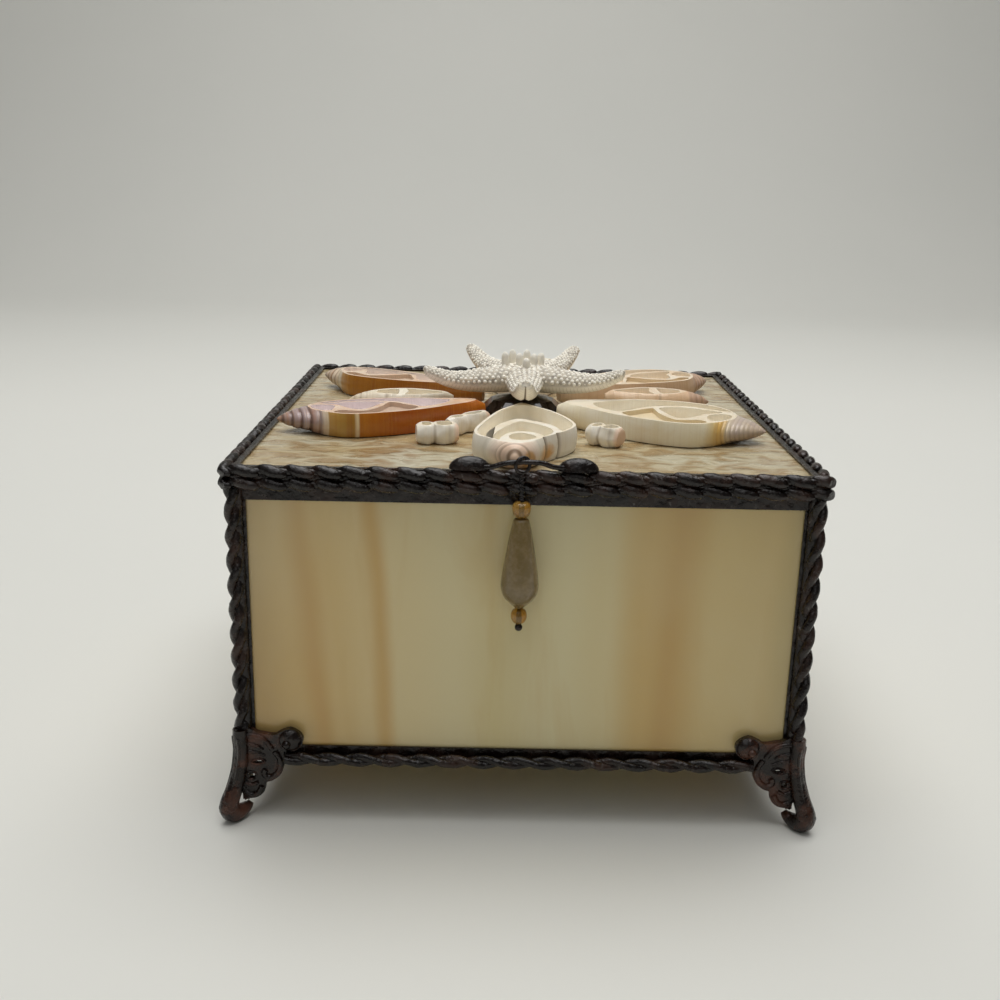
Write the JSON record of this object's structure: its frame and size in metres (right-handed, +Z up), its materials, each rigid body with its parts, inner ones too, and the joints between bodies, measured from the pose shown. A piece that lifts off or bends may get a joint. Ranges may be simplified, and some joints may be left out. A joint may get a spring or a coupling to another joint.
{
  "type": "jewelry box",
  "caption": "Square jewelry box of slag glass in dark solder on cast feet, its lid set with sliced shells, a starfish and a beaded pull.",
  "frame": {"origin": "on the ground under the middle of the box", "axes": "+Z up, -Y towards the front, where the beaded pull hangs, +X to the right seen from the front"},
  "size_m": [0.1672, 0.1698, 0.122],
  "materials": {
    "slag_glass": "semi-gloss opalescent, streaked",
    "lid_glass": "semi-gloss, rippled, ivory",
    "solder": "black patina, glossy",
    "cast_metal": "antique dark copper brown",
    "amber_shell": "polished amber brown",
    "white_shell": "satin, ivory with tan bands",
    "starfish": "rough, off-white",
    "dark_glass": "glossy, near black",
    "amber_bead": "clear golden amber",
    "smoky_bead": "clouded smoky brown"
  },
  "bodies": {
    "root": {"back_glass": "slag_glass", "base_glass": "slag_glass", "bottom_seam_back": "solder", "bottom_seam_front": "solder", "bottom_seam_left": "solder", "bottom_seam_right": "solder", "bottom_wire_back": "solder", "bottom_wire_front": "solder", "bottom_wire_left": "solder", "bottom_wire_right": "solder", "chip_front_left": "white_shell", "chip_front_right": "white_shell", "chip_inner_left": "white_shell", "corner_seam_back_left": "solder", "corner_seam_back_right": "solder", "corner_seam_front_left": "solder", "corner_seam_front_right": "solder", "corner_wire_back_left": "solder", "corner_wire_back_right": "solder", "corner_wire_front_left": "solder", "corner_wire_front_right": "solder", "foot_back_left": "cast_metal", "foot_back_right": "cast_metal", "foot_front_left": "cast_metal", "foot_front_right": "cast_metal", "front_glass": "slag_glass", "hub": "dark_glass", "left_glass": "slag_glass", "lid_glass": "lid_glass", "lid_lower_wire_back": "solder", "lid_lower_wire_front": "solder", "lid_lower_wire_left": "solder", "lid_lower_wire_right": "solder", "lid_seam": "solder", "lid_upper_wire_back": "solder", "lid_upper_wire_front": "solder", "lid_upper_wire_left": "solder", "lid_upper_wire_right": "solder", "pull_bail": "solder", "pull_drop": "smoky_bead", "pull_low_bead": "amber_bead", "pull_pin": "solder", "pull_top_bead": "amber_bead", "right_glass": "slag_glass", "shell_back_left": "amber_shell", "shell_back_right": "white_shell", "shell_front_left": "amber_shell", "shell_front_right": "white_shell", "shell_left": "white_shell", "shell_right": "white_shell", "spiral_back": "white_shell", "spiral_front": "white_shell", "starfish": "starfish", "top_seam_back": "solder", "top_seam_front": "solder", "top_seam_left": "solder", "top_seam_right": "solder"}
  },
  "joints": []
}
